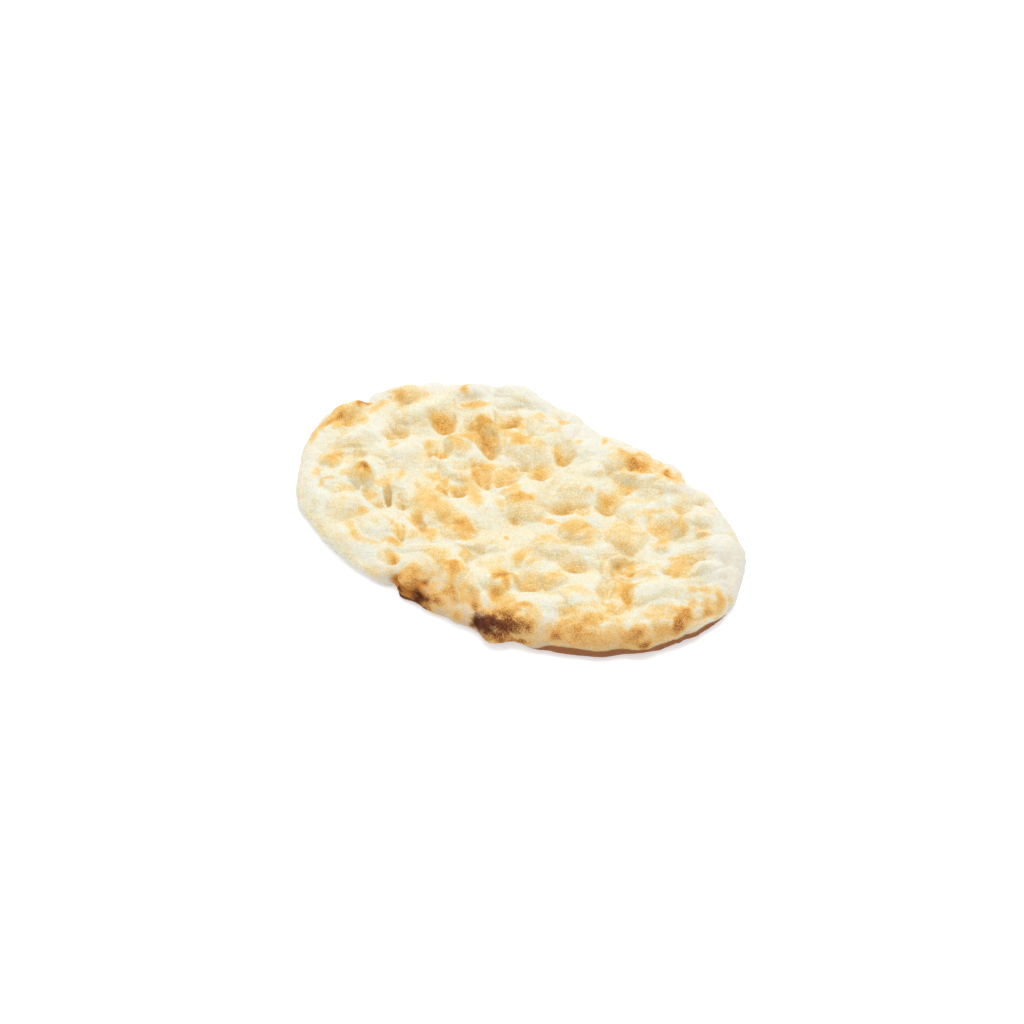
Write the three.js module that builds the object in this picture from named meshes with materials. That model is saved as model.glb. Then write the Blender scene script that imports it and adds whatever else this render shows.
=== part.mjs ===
import * as THREE from 'three';

// A pinsa base: one oval of par-baked dough, pressed with the fingertips and blistered by the oven.
// Millimetres, +Z up, X along its length. The origin lies on the surface that it rests on, under its middle.

// Driving dimensions
const length = 284; // of the plain oval, before its bulges and bites
const width = 188;
const squareness = 2.3; // exponent of the oval: 2 is an ellipse, more is squarer
const middleThickness = 14;
const rimThickness = 17.5;
const rimThicknessSwing = 3.5; // thinner on the gentlest side, thicker on the opposite one
const rimCrest = 24; // from the edge in to where the rim is thickest
const rimCrestSpread = 15; // how broad that crest is
const rimRound = 19; // from the edge in to where the top stops curving down
const rimRoundSwing = 5; // more on the gentlest side, less on the opposite one
const gentlestSide = 245; // degrees, where the rim is thinnest and rounds over most slowly
const steepSide = 333; // degrees, where the rim stands up straightest
const steepSpread = 28; // degrees
const steepBy = 7; // how much sooner the top curves down there
const edgeHeight = 5; // the widest line of the side, above the floor
const edgeHeightSwing = 1; // how far that line rises and sinks
const underRound = 7; // from the edge in to where the dough meets the floor
const thinnest = 3; // dough left under the deepest well
const wellBack = 0.08; // how far a well is drawn out towards the back, in half widths
const wellLean = 0.6; // how far its tip lies from its middle towards the front, in the same measure
const wellFront = -48; // degrees
const wellTip = 1.1; // more makes a wider floor
const wellCurve = 1.3; // more makes a rounder lip and a narrower well
const blisterReach = 1.15; // how far a blister spreads past its oval
const blisterCurve = 1.25; // more makes a narrower dome
const blisterOverhang = 0.5; // share of a rim blister's height by which it also bulges outwards
const floorSoftness = 0.8; // rounds off the wells that go down to the thinnest dough
const swellHeight = 1.3; // slow unevenness of the whole top
const swellReach = 46;
const pillowHeight = 5; // from the creases up to the pillows between them
const pillowReach = 43;
const wander = 2.2; // how far the slow unevenness draws wells and blisters out of shape
const wanderReach = 17;
const tear = { at: 273, spread: 8.5, height: 7.5, halfHeight: 6, depth: 7 }; // open mouth of the torn blister
const outlineSwing = 1.1; // slow unevenness of the outline

// Facets
const domeRings = 35; // from the middle out to where the rim curves down
const sidesPerRing = 6; // ring k of the dome has this many points times k
const sideCount = sidesPerRing * domeRings;
const rimRings = 5;
const underCounts = [sideCount, sideCount, 96];
const footCounts = [40, 12];

// Bulges and bites of the outline: angle in degrees from +X, reach in mm, half spread in degrees
const outlineLobes = [
  [10, 5, 16],
  [26, 6, 5],
  [34, 3, 4],
  [43, 4, 6],
  [60, 3, 4],
  [92, -3.5, 12],
  [126, 4, 10],
  [148, -1.5, 5],
  [173.5, -5, 2.5], // notch between the two curled lips
  [184, 3, 6], // curled brown lip
  [203, -2.5, 5],
  [219, 3, 7],
  [246, 2, 13],
  [265, -3, 3],
  [271, 4, 4],
  [272, -3, 9], // torn blister
  [285, -2, 45],
  [289, -4, 5],
  [299, -4, 5],
  [314, -4, 4],
  [326, -6, 12],
  [337, -3, 7],
  [352, -2, 9],
];

// Wells pressed into the dough: x, y, half length, half width, turn in degrees, depth
const wells = [
  [-82, 31, 13, 8, -45, 10],
  [-95, 3, 9, 8, 0, 5.5],
  [-46, 32, 12, 7.5, -35, 8],
  [-50, 55, 10, 8, -50, 8],
  [-70, 7, 10, 3.5, -25, 3],
  [-59, 7, 7.5, 5.5, -45, 4.5],
  [-29, 10, 13, 8, -40, 6.5],
  [-18, 15, 11, 9, 60, 7],
  [-5, 33, 10, 9, -50, 7],
  [-17, 32, 7.5, 5.5, 5, 4.5],
  [-36, -16, 11, 3, -30, 4],
  [-29, -11, 9, 5.5, -45, 4.5],
  [-97, -27, 7.5, 3.5, -45, 3],
  [-59, -41, 12, 2.5, -45, 9],
  [-64, -47, 12, 5.5, -15, 4.5],
  [-49, -40, 8, 5.5, -30, 4.5],
  [-27, -50, 12, 4, -20, 4.5],
  [-28, -62, 8, 3.5, -35, 3],
  [-18, -81, 8, 5, 30, 4],
  [-32, 81, 11, 4.5, -25, 3.5],
  [-4, 54, 10, 8, -55, 6.5],
  [44, 55, 9, 5.5, 60, 3.5],
  [42, 39, 12, 7, -50, 5.5],
  [78, 43, 13, 9, -55, 4.5],
  [26, 17, 10, 8, 10, 6.5],
  [37, 22, 8, 7, -55, 5],
  [78, 61, 11, 5, -20, 3],
  [84, 71, 11, 7, -15, 3.5],
  [29, 77, 15, 8, -10, 5],
  [112, 29, 15, 10, 60, 8],
  [107, 15, 6, 4, -65, 3],
  [53, -43, 11, 9, -40, 7],
  [62, -15, 9, 7, 0, 4.5],
  [102, -16, 12, 5, -50, 4],
  [90, -20, 12, 4.5, -50, 3.5],
  [144, 3, 6.5, 2.5, -55, 2.5],
  [47, -65, 6.5, 5, -45, 2.5],
  [29, -79, 9, 3.5, -45, 2.5],
  [41, -75, 11, 3.5, -45, 2.5],
  [-81, 56, 9, 6, 60, 3.5],
  [-125, -5, 12, 7.5, 85, 4],
  [-108, 30, 11, 6, 40, 3],
  [-86, -80, 8, 3.5, -35, 2],
  [85, -1, 5, 4.5, 0, 2],
  [93, -3, 3.5, 2.5, 45, 2.5],
  [9, -5, 9, 7, -15, 4],
  [76, 7, 17, 5, 55, 2.5],
  [37, 67, 7.5, 3.5, 30, 3],
];

// Blisters raised by the oven: x, y, half length, half width, turn in degrees, height
const blisters = [
  [-133, -1, 19, 7, -90, 5], // curled brown lip
  [-118, 34, 14, 8, 40, 4], // second curled lip
  [-61, 46, 12, 11, 0, 7],
  [-28, 43, 15, 11, 20, 5.5],
  [-59, 19, 11, 8, -45, 5.5],
  [-61, -3, 6.5, 5.5, -45, 3],
  [-43, -1, 12, 6, 5, 4],
  [-80, -41, 11, 7, -45, 7],
  [-104, -43, 7.5, 6.5, 0, 4],
  [-55, -30, 12, 7.5, -45, 4],
  [-30, -33, 15, 13, -45, 5.5],
  [-4, -37, 11, 11, 0, 5.5],
  [-70, -65, 12, 10, -35, 4],
  [-54, -88, 14, 8, -10, 4],
  [-42, -65, 16, 9, -10, 4],
  [7, 2, 15, 12, 15, 7],
  [22, 33, 10, 7.5, 45, 3],
  [51, 5, 12, 10, -5, 5.5],
  [43, -15, 10, 10, 0, 5.5],
  [70, 22, 12, 11, 0, 5.5],
  [89, 47, 8, 7, -60, 5.5],
  [99, 55, 4.5, 4.5, 0, 3],
  [106, 48, 5, 3.5, 45, 3],
  [92, 29, 6.5, 4, 65, 3],
  [81, -8, 8, 4, -50, 4],
  [81, 3, 9, 3.5, 50, 4],
  [98, 0, 10, 3.5, 40, 3],
  [117, -4, 23, 11, 50, 4],
  [125, 21, 17, 7, 65, 5.5],
  [43, -55, 13, 10, -20, 5.5],
  [17, -66, 12, 8, -45, 4],
  [-3, -83, 14, 10, 30, 4],
  [-3, -63, 15, 6.5, 20, 3],
  [15, -40, 15, 4.5, 35, 3],
  [15, -53, 5.5, 5, 0, 3],
  [40, -32, 5.5, 5, 0, 3],
  [63, -34, 8, 6.5, 70, 4],
  [83, -42, 18, 11, 35, 4],
  [102, -47, 14, 13, 0, 4],
  [99, 12, 7, 6.5, 0, 3],
  [70, -83, 17, 9, 35, 6.5], // scorched blister
  [7, -91, 15, 7, -5, 5.5], // roof of the torn blister
  [130, -37, 10, 6.5, -55, 4], // nub on the front edge
  [137, -10, 13, 8, -45, 3],
  [144, 14, 10, 4.5, -55, 3],
  [18, 54, 14, 8, 45, 3],
  [59, 43, 12, 11, 0, 4],
  [46, 63, 15, 4.5, 20, 3],
  [63, 69, 9, 7.5, 45, 3],
  [-107, -15, 17, 8, 55, 4],
  [-97, 21, 13, 9, 40, 4],
  [-88, 62, 12, 7.5, 40, 3],
  [-60, 79, 20, 9, 15, 3],
  [-32, 65, 12, 8, -50, 3],
  [-77, -11, 13, 11, 40, 4],
  [-94, -62, 16, 9, -40, 3],
  [119, 46, 14, 11, 50, 4],
];

const radians = THREE.MathUtils.degToRad;

// A slow unevenness between -1 and 1, made of crossed waves.
function swell(x, y, reach, start) {
  let sum = 0;
  for (let wave = 1; wave <= 4; wave += 1) {
    const heading = start + wave * 2.4;
    const along = x * Math.cos(heading) + y * Math.sin(heading);
    sum += Math.sin((2 * Math.PI * along) / (reach * (0.7 + 0.2 * wave)) + start * wave);
  }
  return sum / 4;
}

// Distance from the origin to the outline, in the direction of angle.
function outlineRadius(angle) {
  const acrossLength = Math.abs(Math.cos(angle) / (length / 2)) ** squareness;
  const acrossWidth = Math.abs(Math.sin(angle) / (width / 2)) ** squareness;
  let radius = (acrossLength + acrossWidth) ** (-1 / squareness);
  for (const [at, reach, spread] of outlineLobes) {
    const turn = Math.atan2(Math.sin(angle - radians(at)), Math.cos(angle - radians(at)));
    radius += reach * Math.exp(-((turn / radians(spread)) ** 2));
  }
  return radius + outlineSwing * swell(radius * Math.cos(angle), radius * Math.sin(angle), 30, 3);
}

// Where (x, y) lies in an oval feature, in half lengths along it and half widths across it
function placeIn(x, y, [atX, atY, halfLength, halfWidth, turn]) {
  const cos = Math.cos(radians(turn));
  const sin = Math.sin(radians(turn));
  const awayX = x - atX + wander * swell(x, y, wanderReach, 2);
  const awayY = y - atY + wander * swell(x, y, wanderReach, 6);
  return [(awayX * cos + awayY * sin) / halfLength, (awayY * cos - awayX * sin) / halfWidth];
}

// A well is an oblique cone: its tip lies towards the front of the dough, so its front wall is the steep one.
// Returns 1 at the tip and 0 at the lip.
function coneShare(x, y, well) {
  const front = radians(wellFront - well[4]);
  const [frontAlong, frontAcross] = [Math.cos(front), Math.sin(front)];
  const [placeAlong, placeAcross] = placeIn(x, y, well);
  const along = (placeAlong + wellBack * frontAlong) / (1 + wellBack);
  const across = (placeAcross + wellBack * frontAcross) / (1 + wellBack);
  const square = along * along + across * across;
  if (square >= 1) return 0;
  const toTip = 1 - wellLean * (along * frontAlong + across * frontAcross);
  const round = 1 - wellLean * wellLean;
  return (toTip - Math.sqrt(toTip * toTip - round * (1 - square))) / round;
}

// Where wells meet, the deeper one wins softly.
function wellDepth(x, y) {
  let sum = 0;
  for (const well of wells) {
    sum += (well[5] * Math.min(coneShare(x, y, well) * wellTip, 1) ** wellCurve) ** 3;
  }
  return Math.cbrt(sum);
}

// Blisters are domes; where they meet, the higher one wins softly.
function blisterHeight(x, y) {
  let sum = 0;
  for (const blister of blisters) {
    const out = Math.hypot(...placeIn(x, y, blister)) / blisterReach;
    if (out < 1) sum += (blister[5] * (1 - out * out) ** blisterCurve) ** 2;
  }
  return Math.sqrt(sum);
}

// Round pillows with creases between them
function pillows(x, y) {
  return pillowHeight * (Math.abs(swell(x, y, pillowReach, 4)) ** 0.7 - 0.4);
}

// The top of the dough at (x, y), inset mm in from the outline, before the rim curves it down.
function topHeight(x, y, angle, inset) {
  const rim = rimThickness - rimThicknessSwing * Math.cos(angle - radians(gentlestSide));
  const crest = Math.exp(-(((inset - rimCrest) / rimCrestSpread) ** 2));
  const plain = THREE.MathUtils.lerp(middleThickness, rim, crest);
  return plain + swellHeight * swell(x, y, swellReach, 1) + pillows(x, y);
}

// Height of the widest line of the side
function sideHeight(x, y) {
  return edgeHeight + edgeHeightSwing * swell(x, y, 70, 5);
}

// How far in from the edge the top starts to curve down
function rimReach(angle) {
  const reach = rimRound + rimRoundSwing * Math.cos(angle - radians(gentlestSide));
  const turn = Math.atan2(Math.sin(angle - radians(steepSide)), Math.cos(angle - radians(steepSide)));
  return reach - steepBy * Math.exp(-((turn / radians(steepSpread)) ** 2));
}

// How far the mouth of the torn blister cuts into the side
function tearDepth(angle, z) {
  const turn = Math.atan2(Math.sin(angle - radians(tear.at)), Math.cos(angle - radians(tear.at)));
  const open = Math.max(1 - Math.abs(z - tear.height) / tear.halfHeight, 0);
  return tear.depth * open * Math.exp(-((turn / radians(tear.spread)) ** 4));
}

// A point of the top; rise is 1 inside the rim and falls to 0 at the widest line of the side.
function topPoint(angle, inset, rise) {
  const radius = outlineRadius(angle) - inset;
  const x = radius * Math.cos(angle);
  const y = radius * Math.sin(angle);
  const side = sideHeight(x, y);
  const puff = blisterHeight(x, y);
  const full = topHeight(x, y, angle, Math.max(inset, rimReach(angle))) + puff - side;
  const height = side + full * rise - wellDepth(x, y) * rise ** 0.7;
  const lowest = THREE.MathUtils.lerp(side, thinnest, rise);
  const z = lowest + Math.hypot(Math.max(height - lowest, 0), floorSoftness * rise);
  const outward = blisterOverhang * puff * (1 - rise) - (rise < 1 ? tearDepth(angle, z) : 0);
  return [x + outward * Math.cos(angle), y + outward * Math.sin(angle), z];
}

// A point of the rounded lower edge; turnUnder goes from 0 at the side to a right angle at the floor.
function underPoint(angle, turnUnder) {
  const edge = outlineRadius(angle);
  const z = sideHeight(edge * Math.cos(angle), edge * Math.sin(angle)) * (1 - Math.sin(turnUnder));
  const radius = edge - underRound * (1 - Math.cos(turnUnder)) - tearDepth(angle, z);
  return [radius * Math.cos(angle), radius * Math.sin(angle), z];
}

const positions = [];
const triangles = [];

// Adds a ring of points round the dough and returns where it starts and how many it has.
function addRing(count, place) {
  const start = positions.length / 3;
  for (let i = 0; i < count; i += 1) {
    const around = (2 * Math.PI * i) / count;
    const angle = Math.atan2(width * Math.sin(around), length * Math.cos(around));
    positions.push(...place(angle));
  }
  return { start, count };
}

// Closes the skin between two rings, of which the second lies further along it.
function stitch(from, to) {
  let i = 0;
  let j = 0;
  while (i < from.count || j < to.count) {
    const a = from.start + (i % from.count);
    const b = to.start + (j % to.count);
    if (i >= from.count || (j < to.count && (j + 1) / to.count <= (i + 1) / from.count)) {
      j += 1;
      if (to.count > 1) triangles.push(a, b, to.start + (j % to.count));
    } else {
      i += 1;
      if (from.count > 1) triangles.push(a, b, from.start + (i % from.count));
    }
  }
}

function doughSkin() {
  const rings = [addRing(1, (angle) => topPoint(angle, outlineRadius(angle), 1))];
  for (let k = 1; k <= domeRings; k += 1) {
    rings.push(addRing(sidesPerRing * k, (angle) => {
      const radius = ((outlineRadius(angle) - rimReach(angle)) * k) / domeRings;
      return topPoint(angle, outlineRadius(angle) - radius, 1);
    }));
  }
  for (let k = 1; k <= rimRings; k += 1) {
    const fall = ((Math.PI / 2) * k) / rimRings;
    rings.push(addRing(sideCount, (angle) => (
      topPoint(angle, rimReach(angle) * (1 - Math.sin(fall)), Math.cos(fall))
    )));
  }
  underCounts.forEach((count, k) => {
    const turnUnder = ((Math.PI / 2) * (k + 1)) / underCounts.length;
    rings.push(addRing(count, (angle) => underPoint(angle, turnUnder)));
  });
  footCounts.forEach((count, k) => {
    const share = 1 - (k + 1) / (footCounts.length + 1);
    rings.push(addRing(count, (angle) => {
      const [x, y] = underPoint(angle, Math.PI / 2);
      return [x * share, y * share, 0];
    }));
  });
  rings.push(addRing(1, () => [0, 0, 0]));
  rings.slice(1).forEach((ring, k) => stitch(rings[k], ring));

  const skin = new THREE.BufferGeometry();
  skin.setAttribute('position', new THREE.Float32BufferAttribute(positions, 3));
  skin.setIndex(triangles);
  skin.computeBoundingBox();
  const middle = skin.boundingBox.getCenter(new THREE.Vector3());
  skin.translate(-middle.x, -middle.y, 0);
  skin.computeVertexNormals();
  return skin;
}

const bakedDough = new THREE.MeshStandardMaterial({ color: 0xf3e2bd, roughness: 0.85, metalness: 0 });

const pinsa = new THREE.Mesh(doughSkin(), bakedDough);
pinsa.name = 'pinsa';

const part = new THREE.Group();
part.add(pinsa);

export default part;
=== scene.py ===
import math

import bpy
import numpy as np
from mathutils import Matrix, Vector, noise


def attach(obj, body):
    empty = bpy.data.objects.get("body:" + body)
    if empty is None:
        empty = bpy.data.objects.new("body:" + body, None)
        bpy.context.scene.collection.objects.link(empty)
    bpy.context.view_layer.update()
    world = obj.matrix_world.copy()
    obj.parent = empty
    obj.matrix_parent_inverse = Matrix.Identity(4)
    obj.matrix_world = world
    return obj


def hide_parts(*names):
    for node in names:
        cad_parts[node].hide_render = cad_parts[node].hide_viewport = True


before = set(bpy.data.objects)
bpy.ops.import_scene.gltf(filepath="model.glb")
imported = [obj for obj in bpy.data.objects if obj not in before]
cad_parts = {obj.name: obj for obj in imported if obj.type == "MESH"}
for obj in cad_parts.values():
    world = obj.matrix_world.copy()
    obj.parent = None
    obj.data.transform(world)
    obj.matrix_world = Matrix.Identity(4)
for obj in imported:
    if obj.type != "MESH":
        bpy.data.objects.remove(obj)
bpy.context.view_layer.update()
mm = 0.001
print("frame loaded, nodes:", sorted(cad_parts))

# One pinsa base. All places and sizes of its dough are in millimetres, from the middle of the plain oval.
doughShape = {
    "length": 284,  # of the plain oval, before its bulges and bites
    "width": 188,
    "squareness": 2.3,
    "outlineSwing": 1.1,
    "outlineReach": 30,
    "middleThickness": 14,
    "rimThickness": 17.5,
    "rimThicknessSwing": 3.5,
    "rimCrest": 24,  # from the edge in to where the rim is thickest
    "rimCrestSpread": 15,
    "rimRound": 19,  # from the edge in to where the top stops curving down
    "rimRoundSwing": 5,
    "steepSide": 333,  # degrees, where the rim stands up straighter
    "steepSpread": 28,
    "steepBy": 7,
    "gentlestSide": 245,  # degrees
    "edgeHeight": 5,  # the widest line of the side, above the floor
    "edgeHeightSwing": 1,
    "edgeHeightReach": 70,
    "underRound": 7,
    "thinnest": 3,  # dough left under the deepest well
    "floorSoftness": 0.8,
    "wellBack": 0.08,
    "wellLean": 0.6,
    "wellFront": -48,  # degrees, the way that the tips of the wells lean
    "wellTip": 1.1,
    "wellCurve": 1.3,
    "wellRunOut": 0.7,  # how fast a well runs out over the rim
    "blisterReach": 1.15,
    "blisterCurve": 1.25,
    "blisterOverhang": 0.5,
    "swellHeight": 1.3,
    "swellReach": 46,
    "pillowHeight": 5,
    "pillowReach": 43,
    "pillowCurve": 0.7,
    "pillowLevel": 0.4,
    "wander": 2.2,  # how far the slow unevenness draws wells and blisters out of shape
    "wanderReach": 17,
    "domeRings": 128,
    "rimRings": 34,
    "underRings": 7,
    "footCounts": (384, 192, 96, 48, 12),
    "sidesPerRing": 6,
}

# The slow unevenness is a sum of crossed waves, which start elsewhere for each use
waves = {"count": 4, "turn": 2.4, "shortest": 0.7, "longerEach": 0.2}
waveStarts = {"surface": 1, "wanderX": 2, "outline": 3, "pillow": 4, "edge": 5, "wanderY": 6}

# The open mouth of the torn blister, in the side of the rim
tear = {"at": 273, "spread": 8.5, "height": 7.5, "halfHeight": 6, "depth": 7}

# Bulges and bites of the outline: angle in degrees from +X, reach, half spread in degrees
outlineLobes = [
    (10, 5, 16), (26, 6, 5), (34, 3, 4), (43, 4, 6), (60, 3, 4), (92, -3.5, 12), (126, 4, 10), (148, -1.5, 5),
    (173.5, -5, 2.5),  # notch between the two curled lips
    (184, 3, 6),  # curled brown lip
    (203, -2.5, 5), (219, 3, 7), (246, 2, 13),
    (265, -3, 3), (271, 4, 4), (272, -3, 9),  # torn blister
    (285, -2, 45), (289, -4, 5), (299, -4, 5),
    (314, -4, 4), (326, -6, 12), (337, -3, 7),
    (352, -2, 9),
]

# Finger wells: x, y, half length, half width, turn in degrees, depth
wells = [
    (-82, 31, 13, 8, -45, 10), (-95, 3, 9, 8, 0, 5.5), (-46, 32, 12, 7.5, -35, 8), (-50, 55, 10, 8, -50, 8),
    (-70, 7, 10, 3.5, -25, 3), (-59, 7, 7.5, 5.5, -45, 4.5), (-29, 10, 13, 8, -40, 6.5),
    (-18, 15, 11, 9, 60, 7), (-5, 33, 10, 9, -50, 7), (-17, 32, 7.5, 5.5, 5, 4.5),
    (-36, -16, 11, 3, -30, 4), (-29, -11, 9, 5.5, -45, 4.5), (-97, -27, 7.5, 3.5, -45, 3),
    (-59, -41, 12, 2.5, -45, 9), (-64, -47, 12, 5.5, -15, 4.5), (-49, -40, 8, 5.5, -30, 4.5),
    (-27, -50, 12, 4, -20, 4.5), (-28, -62, 8, 3.5, -35, 3), (-18, -81, 8, 5, 30, 4),
    (-32, 81, 11, 4.5, -25, 3.5), (-4, 54, 10, 8, -55, 6.5), (44, 55, 9, 5.5, 60, 3.5),
    (42, 39, 12, 7, -50, 5.5), (78, 43, 13, 9, -55, 4.5), (26, 17, 10, 8, 10, 6.5), (37, 22, 8, 7, -55, 5),
    (78, 61, 11, 5, -20, 3), (84, 71, 11, 7, -15, 3.5), (29, 77, 15, 8, -10, 5), (112, 29, 15, 10, 60, 8),
    (107, 15, 6, 4, -65, 3), (53, -43, 11, 9, -40, 7), (62, -15, 9, 7, 0, 4.5), (102, -16, 12, 5, -50, 4),
    (90, -20, 12, 4.5, -50, 3.5), (144, 3, 6.5, 2.5, -55, 2.5), (47, -65, 6.5, 5, -45, 2.5),
    (29, -79, 9, 3.5, -45, 2.5), (41, -75, 11, 3.5, -45, 2.5), (-81, 56, 9, 6, 60, 3.5),
    (-125, -5, 12, 7.5, 85, 4), (-108, 30, 11, 6, 40, 3), (-86, -80, 8, 3.5, -35, 2),
    (85, -1, 5, 4.5, 0, 2), (93, -3, 3.5, 2.5, 45, 2.5), (9, -5, 9, 7, -15, 4), (76, 7, 17, 5, 55, 2.5),
    (37, 67, 7.5, 3.5, 30, 3),
]

# Oven blisters: x, y, half length, half width, turn in degrees, height
blisters = [
    (-133, -1, 19, 7, -90, 5),  # curled brown lip
    (-118, 34, 14, 8, 40, 4),  # second curled lip
    (-61, 46, 12, 11, 0, 7), (-28, 43, 15, 11, 20, 5.5), (-59, 19, 11, 8, -45, 5.5),
    (-61, -3, 6.5, 5.5, -45, 3), (-43, -1, 12, 6, 5, 4), (-80, -41, 11, 7, -45, 7),
    (-104, -43, 7.5, 6.5, 0, 4), (-55, -30, 12, 7.5, -45, 4), (-30, -33, 15, 13, -45, 5.5),
    (-4, -37, 11, 11, 0, 5.5), (-70, -65, 12, 10, -35, 4), (-54, -88, 14, 8, -10, 4),
    (-42, -65, 16, 9, -10, 4), (7, 2, 15, 12, 15, 7), (22, 33, 10, 7.5, 45, 3), (51, 5, 12, 10, -5, 5.5),
    (43, -15, 10, 10, 0, 5.5), (70, 22, 12, 11, 0, 5.5), (89, 47, 8, 7, -60, 5.5), (99, 55, 4.5, 4.5, 0, 3),
    (106, 48, 5, 3.5, 45, 3), (92, 29, 6.5, 4, 65, 3), (81, -8, 8, 4, -50, 4), (81, 3, 9, 3.5, 50, 4),
    (98, 0, 10, 3.5, 40, 3), (117, -4, 23, 11, 50, 4), (125, 21, 17, 7, 65, 5.5),
    (43, -55, 13, 10, -20, 5.5), (17, -66, 12, 8, -45, 4), (-3, -83, 14, 10, 30, 4),
    (-3, -63, 15, 6.5, 20, 3), (15, -40, 15, 4.5, 35, 3), (15, -53, 5.5, 5, 0, 3), (40, -32, 5.5, 5, 0, 3),
    (63, -34, 8, 6.5, 70, 4), (83, -42, 18, 11, 35, 4), (102, -47, 14, 13, 0, 4), (99, 12, 7, 6.5, 0, 3),
    (70, -83, 17, 9, 35, 6.5),  # scorched blister
    (7, -91, 15, 7, -5, 5.5),  # roof of the torn blister
    (130, -37, 10, 6.5, -55, 4),  # nub on the front edge
    (137, -10, 13, 8, -45, 3), (144, 14, 10, 4.5, -55, 3), (18, 54, 14, 8, 45, 3), (59, 43, 12, 11, 0, 4),
    (46, 63, 15, 4.5, 20, 3), (63, 69, 9, 7.5, 45, 3), (-107, -15, 17, 8, 55, 4), (-97, 21, 13, 9, 40, 4),
    (-88, 62, 12, 7.5, 40, 3), (-60, 79, 20, 9, 15, 3), (-32, 65, 12, 8, -50, 3), (-77, -11, 13, 11, 40, 4),
    (-94, -62, 16, 9, -40, 3), (119, 46, 14, 11, 50, 4),
]

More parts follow.
